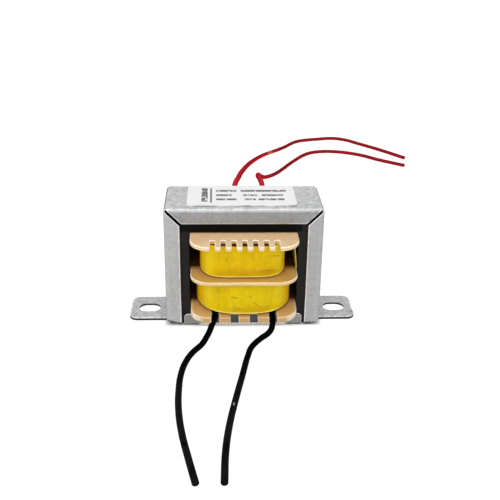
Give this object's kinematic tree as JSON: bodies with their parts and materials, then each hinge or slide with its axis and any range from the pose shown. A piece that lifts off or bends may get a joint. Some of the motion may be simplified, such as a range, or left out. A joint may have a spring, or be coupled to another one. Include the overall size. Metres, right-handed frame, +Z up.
{
  "type": "transformer",
  "caption": "Small laminated-core mains transformer in a folded steel frame with slotted feet, a split bobbin, taped windings and flying leads.",
  "frame": {"origin": "under the middle of the part, in the plane of the undersides of the feet", "axes": "+X across the feet, -Y towards the black secondary leads, +Z up through the top of the frame"},
  "size_m": [0.0962, 0.2169, 0.0297],
  "materials": {
    "zinc_steel": "dull zinc plating with fine mottling and bright cut edges",
    "base_steel": "thin bare steel sheet, duller than the frame",
    "core_steel": "black varnished sheet steel",
    "bobbin_plastic": "tan moulded plastic, satin",
    "copper": "enamelled copper wire",
    "yellow_tape": "yellow polyester film tape with small wrinkles",
    "white_paper": "white paper label with a few plain bars where print would be",
    "red_pvc": "red lead insulation",
    "black_pvc": "black lead insulation"
  },
  "bodies": {
    "root": {"frame": "zinc_steel", "base_plate": "base_steel", "e_laminations_upright": "core_steel", "i_laminations_top": "core_steel", "e_laminations_inverted": "core_steel", "i_laminations_bottom": "core_steel", "bobbin": "bobbin_plastic", "primary_winding": "copper", "secondary_winding": "copper", "primary_tape": "yellow_tape", "secondary_tape": "yellow_tape", "label": "white_paper", "red_lead_left": "red_pvc", "red_lead_right": "red_pvc", "black_lead_left": "black_pvc", "black_lead_right": "black_pvc"}
  },
  "joints": []
}
